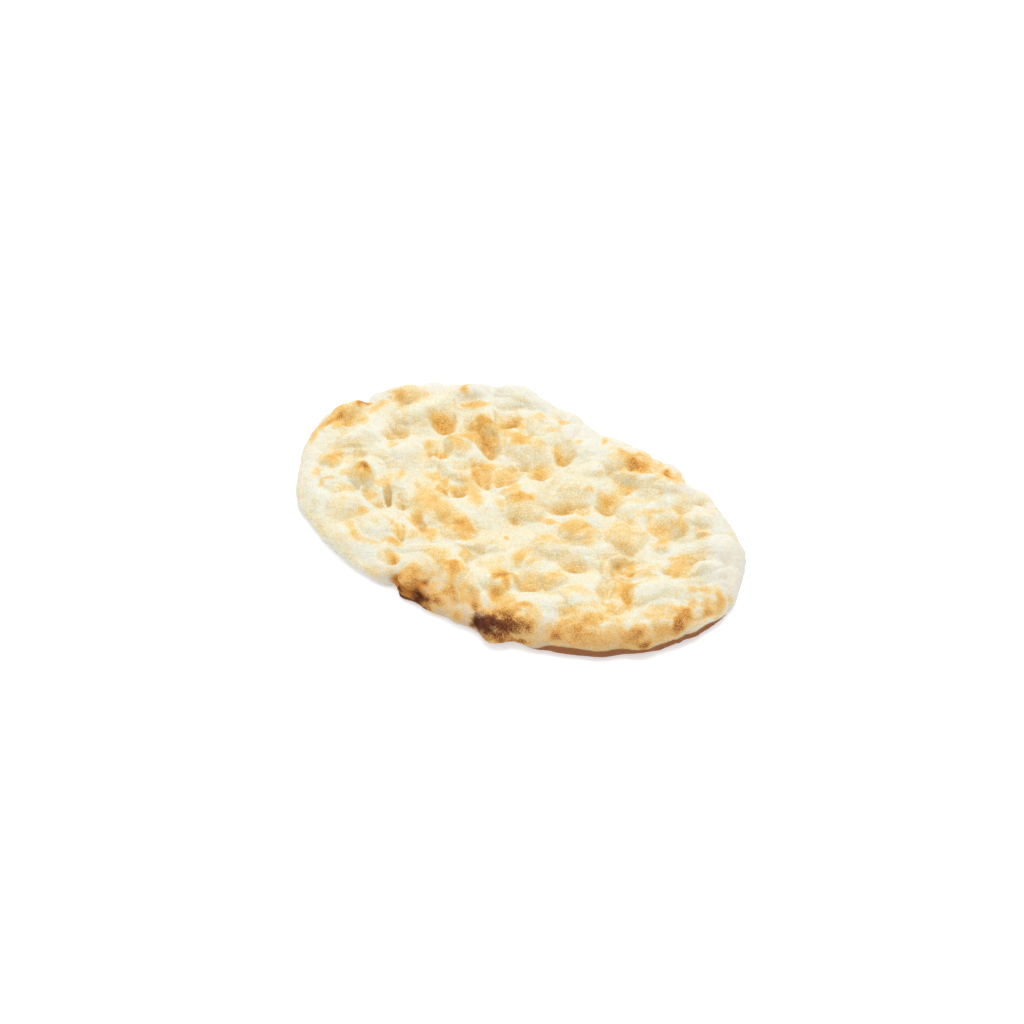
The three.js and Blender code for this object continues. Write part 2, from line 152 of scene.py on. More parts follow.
# Toasted patches: x, y, half length, half width, turn in degrees, how brown from 0 to 1
toasts = [
    (-132, -10, 7.5, 5, -80, 0.5), (-130, -2, 9, 5, 85, 0.3), (-130, 9, 6, 3, 75, 1.),
    (-134, -20, 7.5, 5, -50, 0.55), (-132, -31, 6.5, 2.5, -45, 0.55), (-125, -5, 6, 2.5, 75, 0.2),
    (-124, -15, 6, 3, -85, 0.45), (-118, -2, 6, 3, -35, 0.35), (-121, 12, 7.5, 4.5, -75, 0.4),
    (-118, 19, 5, 3, 60, 0.3), (-106, 21, 11, 2.5, -40, 0.25), (-119, 28, 5, 3, 20, 0.4),
    (-114, 34, 12, 6, 55, 0.3), (-107, 35, 5.5, 1.5, 50, 0.15), (-87, -7, 5, 2.5, -35, 0.3),
    (-105, -40, 9, 5, -50, 0.6), (-104, -56, 5.5, 2, -45, 0.35), (-92, -62, 3.5, 1.5, -45, 0.45),
    (-92, -57, 4.5, 1.5, 55, 0.4), (-80, -41, 5, 2.5, 45, 0.85), (-77, -43, 6, 5, 60, 0.4),
    (-88, -46, 3.5, 2.5, -10, 0.3), (-94, -37, 5, 3.5, -30, 0.2), (-70, -46, 4.5, 3, 75, 0.15),
    (-80, -56, 5.5, 3.5, 45, 0.3), (-71, -66, 5, 4, -30, 0.2), (-57, -62, 3.5, 3, -30, 0.5),
    (-56, -76, 4.5, 2.5, -10, 0.35), (-47, -78, 5, 2.5, -25, 0.4), (-54, -85, 5, 2, 15, 0.1),
    (-91, -76, 5.5, 2.5, -20, 0.05), (-68, 4, 6.5, 4.5, -85, 0.15), (-72, 10, 4.5, 3, -65, 0.4),
    (-41, -28, 12, 6.5, -40, 0.4), (-28, -36, 10, 7, 35, 0.35), (-18, -32, 7, 6, 0, 0.25),
    (-9, -34, 8, 5, -5, 0.25), (-30, -47, 4.5, 3.5, -10, 0.5), (-2, -38, 8, 6, -40, 0.65),
    (-8, -42, 14, 9, 15, 0.2), (-28, -61, 6, 3, -50, 0.4), (-63, -25, 6.5, 3, -40, 0.45),
    (-37, -17, 10, 3, -50, 0.5), (-30, -10, 4, 3.5, 65, 0.35), (-89, 57, 5, 2.5, 20, 0.55),
    (-90, 60, 4, 4, 0, 0.55), (-77, 53, 5.5, 3.5, 30, 0.6), (-88, 45, 2.5, 2, 0, 0.05),
    (-59, 43, 5.5, 2.5, 25, 0.75), (-53, 57, 5.5, 2.5, -65, 0.1), (-45, 56, 7, 4.5, 0, 0.45),
    (-57, 41, 8, 4.5, 25, 0.25), (-59, 39, 4, 1.5, 15, 0.45), (-49, 35, 5.5, 5, 0, 0.4),
    (-32, 45, 6.5, 6, -35, 0.55), (-20, 47, 6, 4.5, -45, 0.3), (-36, 68, 4.5, 3, -50, 0.35),
    (-22, 63, 4, 2, 35, 0.25), (-21, 73, 4.5, 3, 90, 0.55), (-6, 65, 5.5, 3, 30, 0.2),
    (-57, 17, 6.5, 5, -20, 0.4), (-44, 8, 4.5, 3.5, 20, 0.15), (-84, 33, 5.5, 4.5, 70, 0.45),
    (-8, 53, 4.5, 2.5, -50, 0.45), (-35, 9, 7.5, 3, -35, 0.6), (-7, 36, 4.5, 4, 0, 0.4),
    (-23, 17, 11, 6, 40, 0.35), (6, 4, 6, 4, 55, 0.7), (2, -4, 5, 4, -10, 0.15), (14, 1, 11, 6, 50, 0.15),
    (23, 32, 7.5, 4, 40, 0.1), (21, 17, 6, 2, 35, 0.1), (35, 24, 8, 6.5, 15, 0.25),
    (25, -85, 3, 2, 20, 0.9), (46, 6, 9, 6.5, 10, 0.45), (57, 4, 5.5, 4.5, -50, 0.3),
    (59, 0, 3.5, 2.5, 25, 0.15), (29, 2, 7, 3.5, 25, 0.5), (40, -11, 7, 6, 50, 0.35),
    (48, -7, 6.5, 3, -60, 0.1), (19, -24, 2.5, 1.5, -40, 0.6), (37, -30, 6, 3.5, -80, 0.55),
    (45, -30, 3.5, 2, 65, 0.4), (51, -39, 6.5, 5.5, 20, 0.2), (60, -13, 6.5, 3, 30, 0.05),
    (62, -33, 7, 4, -80, 0.45), (14, -52, 5, 3.5, 85, 0.5), (14, -38, 10, 4.5, 65, 0.15),
    (1, -62, 10, 4.5, 0, 0.35), (17, -66, 7.5, 4.5, -35, 0.75), (1, -81, 4, 2, 40, 0.6),
    (-1, -80, 12, 6.5, 25, 0.1), (-25, -70, 6, 2.5, 15, 0.55), (-17, -78, 3.5, 2.5, -5, 0.65),
    (-21, -79, 6.5, 3.5, 25, 0.15), (-20, -58, 4.5, 3, 40, 0.3), (-14, -79, 6.5, 4, 0, 0.05),
    (43, -53, 6.5, 5, 0, 0.9), (34, -48, 8, 7.5, 0, 0.25), (50, -57, 3.5, 2.5, -55, 0.6),
    (48, -65, 5, 4, 0, 0.6), (28, -78, 5, 2, -50, 0.7), (39, -73, 7.5, 3, -45, 0.55),
    (43, -76, 3.5, 2, -40, 0.3), (29, -65, 4.5, 3.5, -45, 0.25), (7, 78, 6.5, 2.5, -55, 0.5),
    (41, 70, 6.5, 5, 0, 0.7), (30, 72, 11, 8, -30, 0.6), (37, 79, 7.5, 4.5, -40, 0.4),
    (48, 79, 7.5, 5, -45, 0.4), (57, 77, 5.5, 2.5, -55, 0.85), (58, 70, 6, 5, -80, 0.35),
    (63, 76, 8, 4, -65, 0.55), (41, 61, 7, 1.5, 15, 0.2), (31, 60, 4.5, 1.5, 10, 0.05),
    (26, 54, 3, 1.5, 60, 0.1), (42, 55, 4.5, 2.5, 25, 0.4), (38, 42, 5, 4.5, 90, 0.4),
    (39, 42, 3, 2.5, -65, 0.25), (29, 36, 4.5, 1.5, 65, 0.3), (70, 49, 5, 2, 40, 0.4),
    (78, 39, 5.5, 3.5, 75, 0.3), (90, 46, 7.5, 3.5, -15, 0.3), (102, 50, 3.5, 2.5, 15, 0.2),
    (108, 45, 4.5, 4, 0, 0.3), (89, 32, 7, 4, -80, 0.5), (76, 66, 5, 3.5, -60, 0.2),
    (84, 76, 4.5, 3, 5, 0.15), (98, 67, 9, 3, -50, 0.2), (80, 57, 3.5, 2, -15, 0.3),
    (114, 60, 5.5, 1.5, 80, 0.25), (68, 23, 14, 10, -60, 0.3), (56, 51, 6, 3.5, 55, 0.25),
    (80, -6, 6.5, 3, -50, 0.05), (78, 2, 5.5, 4, 35, 0.1), (83, -1, 2, 2, 0, 0.4),
    (85, 4, 4.5, 2, 55, 0.25), (92, -2, 5, 2, -20, 0.65), (85, -9, 4, 2.5, 45, 0.25),
    (98, 2, 6.5, 4.5, 20, 0.35), (88, -19, 7.5, 4.5, -60, 0.2), (102, -17, 11, 4.5, -45, 0.45),
    (108, -23, 3.5, 2.5, -35, 0.55), (99, 12, 4, 3.5, 70, 0.25), (107, 24, 6.5, 4.5, -60, 0.35),
    (122, 12, 3, 1.5, 50, 0.15), (126, 7, 5, 2, 60, 0.1), (133, 12, 7, 3, 55, 0.5),
    (116, -13, 3, 2, 45, 0.05), (80, -43, 5.5, 3.5, 0, 0.15), (82, -35, 6.5, 5.5, 0, 0.25),
    (82, -49, 4.5, 2, 50, 0.2), (94, -42, 10, 2.5, 45, 0.3), (104, -35, 4.5, 3, -70, 0.45),
    (103, -45, 6, 5, 55, 0.55), (91, -50, 6, 3, 20, 0.5), (100, -53, 10, 5, 30, 0.4),
    (69, -65, 5, 2.5, 35, 0.75), (75, -65, 6.5, 2.5, 35, 0.35), (126, -18, 9, 5.5, 65, 0.4),
    (141, 17, 3.5, 2.5, -85, 0.45), (138, 19, 3.5, 2, -60, 0.4), (98, -15, 9, 6.5, -45, 0.4),
    (-22, -7, 16, 4, -30, 0.4), (141, 10, 5.5, 4, 15, 0.45), (2, -87, 7.5, 3, 5, 0.45),
    (-47, 42, 9, 3.5, -55, 0.3), (-68, -34, 7.5, 4, -65, 0.4), (-58, 32, 7, 6.5, 0, 0.6),
    (42, 48, 9, 4, -30, 0.3), (-39, -80, 11, 3, 20, 0.3), (-49, -12, 6, 4, 5, 0.4),
    (-34, 19, 5.5, 3.5, 35, 0.5), (-16, -51, 5.5, 4, -40, 0.5), (113, 15, 7, 4, -20, 0.5),
    (56, -64, 5.5, 3.5, -60, 0.3), (-35, -13, 5, 2.5, -85, 0.45), (89, 5, 4, 3, -75, 0.55),
    (-34, -61, 7.5, 2.5, -45, 0.4), (-60, 6, 5.5, 3, -35, 0.45), (-42, -67, 5.5, 2, -15, 0.2),
    (-1, -7, 3.5, 2.5, -40, 0.35), (-27, 43, 4, 3.5, 0, 0.65), (-129, -16, 5, 2.5, 90, 0.65),
    (66, 44, 4.5, 2.5, 30, 0.35), (-18, -76, 4.5, 2, 0, 0.6), (100, 23, 3, 2.5, 0, 0.45),
    (-2, 66, 5, 2, -55, 0.3), (11, 8, 4, 2, -55, 0.5), (9, -74, 3, 1.5, -55, 0.5),
    (23, -75, 4.5, 3.5, 45, 0.25), (46, -77, 5.5, 2.5, -40, 0.7), (36, -78, 4, 2.5, -40, 0.55),
    (62, -72, 9, 3.5, 25, 0.5), (100, -19, 21, 4, -50, 0.25), (32, -78, 6.5, 4, 25, 0.3),
    (-45, 47, 11, 3, -45, 0.4), (-66, -46, 4, 3, 30, 0.35), (-16, -12, 8, 5.5, -25, 0.35),
    (-5, 8, 7, 5, -70, 0.4), (78, -62, 5.5, 2, -50, 0.3), (72, 42, 7, 2, -65, 0.3),
    (1, -89, 7.5, 1.5, 0, 0.35),
]

# Toasted patches on the steep near side of the rim: x, y, z, half length, half height, how brown. Most are
# browning; a few also paint the shade beside the torn blister and under the scorched blister
rimToastsAndShade = [
    (60, -86, 8, 4.5, 3, 1), (69, -84, 8, 8, 3, 1), (78, -77, 7, 7, 2.5, 1), (40, -86, 8, 3.5, 4, 0.7),
    (92, -65, 12, 4.5, 4.5, 0.9), (101, -59, 12, 9.5, 6, 0.4), (127, -36, 16, 5.5, 5.5, 0.6),
    (132, -37, 10, 4.5, 3, 1), (129, -37, 13, 7.5, 10, 0.1), (125, -41, 12, 6, 6, 0.6),
    (136, -8, 16, 4.5, 6, 0.85), (134, 1, 16, 3.5, 4.5, 0.45), (138, -15, 14, 4.5, 6, 0.85),
    (138, -18, 12, 4, 4, 0.75), (137, -9, 15, 8, 12.5, 0.35), (143, 16, 12, 4, 6, 0.45),
    (144, 23, 8, 3, 5.5, 0.4), (142, 6, 11, 3, 4.5, 0.55), (76, -72, 15, 5.5, 6, 0.4),
    (70, -78, 14, 10.5, 4, 1), (57, -79, 14, 5.5, 2.5, 1), (76, -74, 14, 7, 4.5, 0.35),
    (-22, -92, 8, 7, 2.5, 0.2), (-12, -90, 6, 4.5, 4, 0.15), (-2, -89, 9, 6, 4, 1),
    (6, -87, 12, 8, 5.5, 0.8), (33, -84, 10, 6, 4, 0.3), (112, -52, 12, 17.5, 6, 0.6),
    (142, -3, 10, 12, 4, 0.2), (133, -26, 13, 9.5, 5.5, 0.65), (83, -72, 11, 4.5, 4.5, 0.3),
    (51, -84, 9, 3, 4.5, 1), (72, -71, 17, 4.5, 3, 0.35), (21, -89, 4, 3.5, 2.5, 1),
    (21, -85, 11, 4.5, 4, 0.7), (25, -79, 12, 4, 4.5, 0.75), (57, -83, 12, 3, 3, 1),
    (30, -72, 14, 2.5, 5.5, 0.5), (20, -87, 9, 3, 2.5, 0.8), (69, -84, 9, 7.5, 3, 1),
    (21, -89, 6, 3.5, 2.5, 0.8), (34, -86, 7, 4.5, 2.5, 0.45), (51, -84, 10, 3, 2.5, 0.6),
    (16, -81, 13, 3.5, 4, 0.5), (47, -84, 9, 3, 3, 0.4), (64, -74, 16, 10.5, 4, 0.6),
    (94, -61, 13, 8, 7, 0.35), (20, -87, 9, 5.5, 4.5, 0.45),
]

# Scorched spots there: x, y, z, half length, half height, how black
scorches = [
    (52, -84, 10, 6, 4.5, 1), (57, -83, 11, 6.5, 4, 1), (63, -81, 13, 6, 4, 0.85),
    (60, -84, 7, 10, 4, 0.6), (69, -79, 13, 9, 5, 0.6), (76, -75, 14, 7, 4.5, 0.5),
    (11, -88, 7, 4, 3, 0.8), (18, -87, 9, 3, 2, 1), (-2, -90, 6, 3, 1, 1), (5, -90, 6, 3.5, 1.5, 0.45),
    (12, -89, 5, 4, 2, 0.95),
]


def swell(x, y, reach, use):
    # slow unevenness between -1 and 1
    start = waveStarts[use]
    total = 0
    for wave in range(1, waves["count"] + 1):
        heading = start + wave * waves["turn"]
        along = x * math.cos(heading) + y * math.sin(heading)
        length = reach * (waves["shortest"] + waves["longerEach"] * wave)
        total = total + np.sin(2 * math.pi * along / length + start * wave)
    return total / waves["count"]


def turnFrom(angle, degrees):
    # the signed angle from a direction given in degrees, in radians
    away = angle - math.radians(degrees)
    return np.arctan2(np.sin(away), np.cos(away))


def outlineRadius(angle):
    shape = doughShape
    acrossLength = np.abs(np.cos(angle) / (shape["length"] / 2)) ** shape["squareness"]
    acrossWidth = np.abs(np.sin(angle) / (shape["width"] / 2)) ** shape["squareness"]
    radius = (acrossLength + acrossWidth) ** (-1 / shape["squareness"])
    for at, reach, spread in outlineLobes:
        radius = radius + reach * np.exp(-((turnFrom(angle, at) / math.radians(spread)) ** 2))
    x, y = radius * np.cos(angle), radius * np.sin(angle)
    return radius + shape["outlineSwing"] * swell(x, y, shape["outlineReach"], "outline")


def placeIn(x, y, oval):
    # where (x, y) lies in an oval, in half lengths along it and half widths across it
    atX, atY, halfLength, halfWidth, turn = oval[:5]
    c, s = math.cos(math.radians(turn)), math.sin(math.radians(turn))
    shape = doughShape
    awayX = x - atX + shape["wander"] * swell(x, y, shape["wanderReach"], "wanderX")
    awayY = y - atY + shape["wander"] * swell(x, y, shape["wanderReach"], "wanderY")
    return (awayX * c + awayY * s) / halfLength, (awayY * c - awayX * s) / halfWidth


def outness(x, y, oval):
    # 0 in the middle of an oval, 1 at its edge
    return np.hypot(*placeIn(x, y, oval))


def smooth(value, low, high):
    t = np.clip((value - low) / (high - low), 0, 1)
    return t * t * (3 - 2 * t)


def coneShare(x, y, well):
    # a well is an oblique cone with its tip towards the front: 1 at the tip, 0 at the lip
    back, lean = doughShape["wellBack"], doughShape["wellLean"]
    front = math.radians(doughShape["wellFront"] - well[4])
    along, across = placeIn(x, y, well)
    along = (along + back * math.cos(front)) / (1 + back)
    across = (across + back * math.sin(front)) / (1 + back)
    square = np.minimum(along * along + across * across, 1)
    toTip = 1 - lean * (along * math.cos(front) + across * math.sin(front))
    roundness = 1 - lean * lean
    return (toTip - np.sqrt(toTip * toTip - roundness * (1 - square))) / roundness


def wellDepth(x, y):
    # where wells overlap the deeper one wins, with a soft change between them
    shape = doughShape
    total = 0
    for well in wells:
        share = np.clip(coneShare(x, y, well) * shape["wellTip"], 0, 1)
        total = total + (well[5] * share ** shape["wellCurve"]) ** 3
    return np.cbrt(total)


def blisterHeight(x, y):
    shape = doughShape
    total = 0
    for blister in blisters:
        out = np.minimum(outness(x, y, blister) / shape["blisterReach"], 1)
        total = total + (blister[5] * (1 - out * out) ** shape["blisterCurve"]) ** 2
    return np.sqrt(total)


def sideHeight(x, y):
    shape = doughShape
    return shape["edgeHeight"] + shape["edgeHeightSwing"] * swell(x, y, shape["edgeHeightReach"], "edge")


def rimReach(angle):
    shape = doughShape
    reach = shape["rimRound"] + shape["rimRoundSwing"] * np.cos(angle - math.radians(shape["gentlestSide"]))
    turn = turnFrom(angle, shape["steepSide"]) / math.radians(shape["steepSpread"])
    return reach - shape["steepBy"] * np.exp(-turn * turn)


def pillows(x, y):
    # round pillows with creases between them
    shape = doughShape
    swelling = np.abs(swell(x, y, shape["pillowReach"], "pillow"))
    return shape["pillowHeight"] * (swelling ** shape["pillowCurve"] - shape["pillowLevel"])


def tearDepth(angle, z):
    turn = turnFrom(angle, tear["at"])
    gape = np.maximum(1 - np.abs(z - tear["height"]) / tear["halfHeight"], 0)
    return tear["depth"] * gape * np.exp(-((turn / math.radians(tear["spread"])) ** 4))


# Painted shade: the wells, the creases and gentle slopes get a yellower, darker bake that stands in for their
# shade
hollowShadeTint = {
    "wellDepth": 8, "wellShare": 0.75, "wellCurve": 1.2,
    "creaseLevel": 0.8, "creaseDepth": 9, "creaseShare": 0.5, "creaseCurve": 1.4,
    "slopeShare": 0.30, "slopeIn": (0.02, 0.30), "slopeOut": (0.35, 0.7),
}


def paintedHollowShade(well, relief):
    look = hollowShadeTint
    # painted shade, strongest in the deepest wells and creases
    inWell = np.clip(well / look["wellDepth"], 0, 1) ** look["wellCurve"]
    crease = look["creaseLevel"] - relief + well
    inCrease = np.clip(crease / look["creaseDepth"], 0, 1) ** look["creaseCurve"]
    return look["wellShare"] * inWell + look["creaseShare"] * inCrease


def paintedSlopeShade(normals):
    look = hollowShadeTint
    # painted shade on gentle slopes, none on flats or steep sides
    steep = 1 - normals[:, 2]
    return look["slopeShare"] * smooth(steep, *look["slopeIn"]) * (1 - smooth(steep, *look["slopeOut"]))


def doughTop(angle, inset, rise):
    # rise is 1 inside the rim and falls to 0 at the widest line of the side
    shape = doughShape
    radius = outlineRadius(angle) - inset
    x, y = radius * np.cos(angle), radius * np.sin(angle)
    side = sideHeight(x, y)
    puff = blisterHeight(x, y)
    well = wellDepth(x, y)
    gentle = np.cos(angle - math.radians(shape["gentlestSide"]))
    rim = shape["rimThickness"] - shape["rimThicknessSwing"] * gentle
    fromCrest = (np.maximum(inset, rimReach(angle)) - shape["rimCrest"]) / shape["rimCrestSpread"]
    full = shape["middleThickness"] + (rim - shape["middleThickness"]) * np.exp(-(fromCrest ** 2))
    relief = pillows(x, y) + puff
    full = full + shape["swellHeight"] * swell(x, y, shape["swellReach"], "surface") + relief - side
    height = side + full * rise - well * rise ** shape["wellRunOut"]
    lowest = side + (shape["thinnest"] - side) * rise
    z = lowest + np.hypot(np.maximum(height - lowest, 0), shape["floorSoftness"] * rise)
    torn = tearDepth(angle, z) * (rise < 1)
    outward = shape["blisterOverhang"] * puff * (1 - rise) - torn
    points = np.stack([x + outward * np.cos(angle), y + outward * np.sin(angle), z], 1)
    return points, paintedHollowShade(well, relief), torn


def doughUnder(angle, turnUnder):
    edge = outlineRadius(angle)
    z = sideHeight(edge * np.cos(angle), edge * np.sin(angle)) * (1 - np.sin(turnUnder))
    torn = tearDepth(angle, z)
    radius = edge - doughShape["underRound"] * (1 - np.cos(turnUnder)) - torn
    return np.stack([radius * np.cos(angle), radius * np.sin(angle), z], 1), np.zeros(len(angle)), torn


def ringAngles(count):
    around = 2 * math.pi * np.arange(count) / count
    return np.arctan2(doughShape["width"] * np.sin(around), doughShape["length"] * np.cos(around))


def stitch(start, count, nextStart, nextCount):
    # closes the skin between two rings, of which the second lies further along it
    faces = []
    i = j = 0
    while i < count or j < nextCount:
        a = start + i % count
        b = nextStart + j % nextCount
        if i >= count or (j < nextCount and (j + 1) / nextCount <= (i + 1) / count):
            j += 1
            if nextCount > 1:
                faces.append((a, b, nextStart + j % nextCount))
        else:
            i += 1
            if count > 1:
                faces.append((a, b, start + i % count))
    return faces


def doughRings():
    # every ring of the skin: its points, its painted hollow shade, how torn it is there, and how far it turns
    # under
    shape = doughShape
    sideCount = shape["sidesPerRing"] * shape["domeRings"]
    rings = []
    middle = ringAngles(1)
    rings.append((*doughTop(middle, outlineRadius(middle), 1.0), 0))
    for k in range(1, shape["domeRings"] + 1):
        angle = ringAngles(shape["sidesPerRing"] * k)
        edge = outlineRadius(angle)
        radius = (edge - rimReach(angle)) * k / shape["domeRings"]
        rings.append((*doughTop(angle, edge - radius, 1.0), 0))
    angle = ringAngles(sideCount)
    for k in range(1, shape["rimRings"] + 1):
        fall = math.pi / 2 * k / shape["rimRings"]
        rings.append((*doughTop(angle, rimReach(angle) * (1 - math.sin(fall)), math.cos(fall)), 0))
    for k in range(1, shape["underRings"] + 1):
        turnUnder = math.pi / 2 * k / shape["underRings"]
        rings.append((*doughUnder(angle, turnUnder), turnUnder))
    for k, count in enumerate(shape["footCounts"]):
        share = 1 - (k + 1) / (len(shape["footCounts"]) + 1)
        points = doughUnder(ringAngles(count), math.pi / 2)[0] * share
        rings.append((points, np.zeros(count), np.zeros(count), math.pi / 2))
    rings.append((np.zeros((1, 3)), np.zeros(1), np.zeros(1), math.pi / 2))
    return rings


def pointNormals(points, faces):
    flat = np.cross(points[faces[:, 1]] - points[faces[:, 0]], points[faces[:, 2]] - points[faces[:, 0]])
    normals = np.zeros_like(points)
    for corner in range(3):
        np.add.at(normals, faces[:, corner], flat)
    return normals / np.maximum(np.linalg.norm(normals, axis=1, keepdims=True), 1e-12)


def noiseAt(points, size, seed, octaves=1):
    # the seed only shifts the points, so the noise is the same every run
    shift = Vector((seed * 17.3, seed * -9.1, seed * 5.7))
    if octaves == 1:
        return np.array([noise.noise(Vector(p) / size + shift) for p in points])
    return np.array([noise.fractal(Vector(p) / size + shift, 1.0, 2.0, octaves) for p in points])


# Relief finer than the wells and blisters: how far apart, how high, and where it levels off
skinRelief = {
    "fold": {"reach": 16, "height": 2.2, "level": -0.5, "seed": 1},
    "crumple": {"reach": 5, "height": 0.6, "level": -0.15, "seed": 2},
    "wrinkle": {"reach": 3.2, "height": -0.5, "level": 0.1, "seed": 4},
    "grain": {"reach": 2.2, "height": 0.12, "octaves": 3, "seed": 3},
    "wrinkleWay": (0.74, 0.67),  # wrinkles run along this direction
    "wrinkleStretch": 0.28,
    "underFade": 1.3,  # the relief is gone before the flat underside
}


def creased(points, kind):
    return np.abs(noiseAt(points, kind["reach"], kind["seed"])) * kind["height"] + kind["level"]


def reliefHeight(points, turnUnder):
    look = skinRelief
    fade = np.cos(np.minimum(turnUnder * look["underFade"], math.pi / 2))
    c, s = look["wrinkleWay"]
    turned = points @ np.array([[c, s, 0], [s, -c, 0], [0, 0, 1]]).T
    relief = creased(points, look["fold"]) + creased(points, look["crumple"])
    relief = relief + creased(turned * (look["wrinkleStretch"], 1, 1), look["wrinkle"])
    grain = look["grain"]
    relief = relief + noiseAt(points, grain["reach"], grain["seed"], grain["octaves"]) * grain["height"]
    return relief * np.where(turnUnder > 0, fade, 1.0)


# The edge of a patch wanders, and its brown fades from the core out
patchLook = {
    "ragged": 0.4, "raggedReach": 5, "raggedSeed": 5, "raggedOctaves": 3,
    "core": 0.2, "end": 1.6,  # in half widths of the patch
    "curve": 1.3,
}


def leftClear(strength, out):
    # how much of the dough one patch leaves unbrowned
    look = patchLook
    return 1 - strength ** look["curve"] * (1 - smooth(out, look["core"], look["end"]))


def patchField(points, patches, ragged):
    # soft patches with ragged edges that build up where they overlap
    clear = np.ones(len(points))
    for patch in patches:
        clear = clear * leftClear(patch[5], outness(points[:, 0], points[:, 1], patch) + ragged)
    return 1 - clear


def sidePatchField(points, patches, ragged):
    # the same on the steep side of the rim, where a patch is measured along the rim and up it
    clear = np.ones(len(points))
    for x, y, z, halfLength, halfHeight, strength in patches:
        along = np.hypot(points[:, 0] - x, points[:, 1] - y) / halfLength
        clear = clear * leftClear(strength, np.hypot(along, (points[:, 2] - z) / halfHeight) + ragged)
    return 1 - clear


# How the side of the pinsa is baked, with painted shade and painted highlight on it. A pair is where
# something starts and where it is full (or gone):
# angles in radians around the middle of the pinsa, heights and depths in millimetres.
sideBakeAndLight = {
    "bandLow": 1.5, "bandHigh": 6.0, "bandIn": (-0.78, -0.62), "bandOut": (-0.1, 0.35),  # browned lower edge
    "bandRagged": 0.7, "bandSoftness": 0.8,
    "scorchShadowAt": -0.90, "scorchShadowSpread": 0.10, "scorchShadow": 3.5,  # and its highest place, under the scorched blister, where the brown is also painted shadow under the bulge
    "insideTear": (0.8, 2.4),
    "lowHeights": (7, 20), "lowIn": (-1.9, -1.3), "lowOut": (-0.3, 0.1),  # painted shade on the low near side
    "lipHeight": 3.0, "lipSpread": 0.9, "lipTear": 0.3, "lipIn": (-1.62, -1.58), "lipBlack": 1.4,
    "tearEnd": (1.5, 4.0), "tearEndIn": (-1.52, -1.44), "tearEndBlack": 0.9,
    "highlightWidth": (3, 22), "highlightWiderBy": 16, "farSide": (0, 40),  # painted highlight along the rim, wider on the far side
    "highlightGapAt": -2.2, "highlightGapSpread": 0.6, "highlightGapShare": 0.9,  # the painted highlight is weaker on the near left side
}


def bump(value, at, spread):
    return np.exp(-(((value - at) / spread) ** 2))


def sideLayers(centred, torn, ragged, onRim):
    look = sideBakeAndLight
    x, y, z = centred.T
    around = np.arctan2(y, x)
    highBand = smooth(around, *look["bandIn"]) * (1 - smooth(around, *look["bandOut"]))
    bandTop = look["bandLow"] + look["bandHigh"] * highBand + look["bandRagged"] * ragged
    bandTop = bandTop + look["scorchShadow"] * bump(around, look["scorchShadowAt"], look["scorchShadowSpread"])
    band = 1 - smooth(z, bandTop - look["bandSoftness"], bandTop + look["bandSoftness"])
    # painted shade on the low near side of the rim, fading upwards
    lowSideShade = onRim * (1 - smooth(z, *look["lowHeights"]))
    lowSideShade = lowSideShade * smooth(around, *look["lowIn"]) * (1 - smooth(around, *look["lowOut"]))
    lip = bump(z - ragged, look["lipHeight"], look["lipSpread"]) * (torn > look["lipTear"])
    lip = lip * smooth(around, *look["lipIn"])
    tearEnd = smooth(torn, *look["tearEnd"]) * smooth(around, *look["tearEndIn"])
    # painted highlight along the rim, wider on the far side and weaker on the near left
    fromEdge = outlineRadius(around) - np.hypot(x, y)
    narrow, wide = look["highlightWidth"]
    rimHighlight = 1 - smooth(fromEdge, narrow, wide + look["highlightWiderBy"] * smooth(y, *look["farSide"]))
    rimHighlight = rimHighlight * (1 - look["highlightGapShare"] * bump(around, look["highlightGapAt"], look["highlightGapSpread"]))
    return {
        "crustAndShadow": np.where(onRim, band, 0),
        "inside": smooth(torn, *look["insideTear"]),
        "lowSideShade": lowSideShade,
        "char": np.maximum(look["lipBlack"] * lip, look["tearEndBlack"] * tearEnd),
        "rimHighlight": rimHighlight,
    }


def joinRings(rings):
    # the skin through all rings, one after another, with what each ring says at its points
    points, hollowShade, torn = (np.concatenate([ring[k] for ring in rings]) for k in range(3))
    turnUnder = np.concatenate([np.full(len(ring[0]), ring[3]) for ring in rings])
    starts = np.cumsum([0] + [len(ring[0]) for ring in rings])
    faces = []
    for k in range(len(rings) - 1):
        faces += stitch(starts[k], len(rings[k][0]), starts[k + 1], len(rings[k + 1][0]))
    onRim = np.arange(len(points)) >= starts[doughShape["domeRings"] + 1]
    return points, np.array(faces), hollowShade, torn, turnUnder, onRim


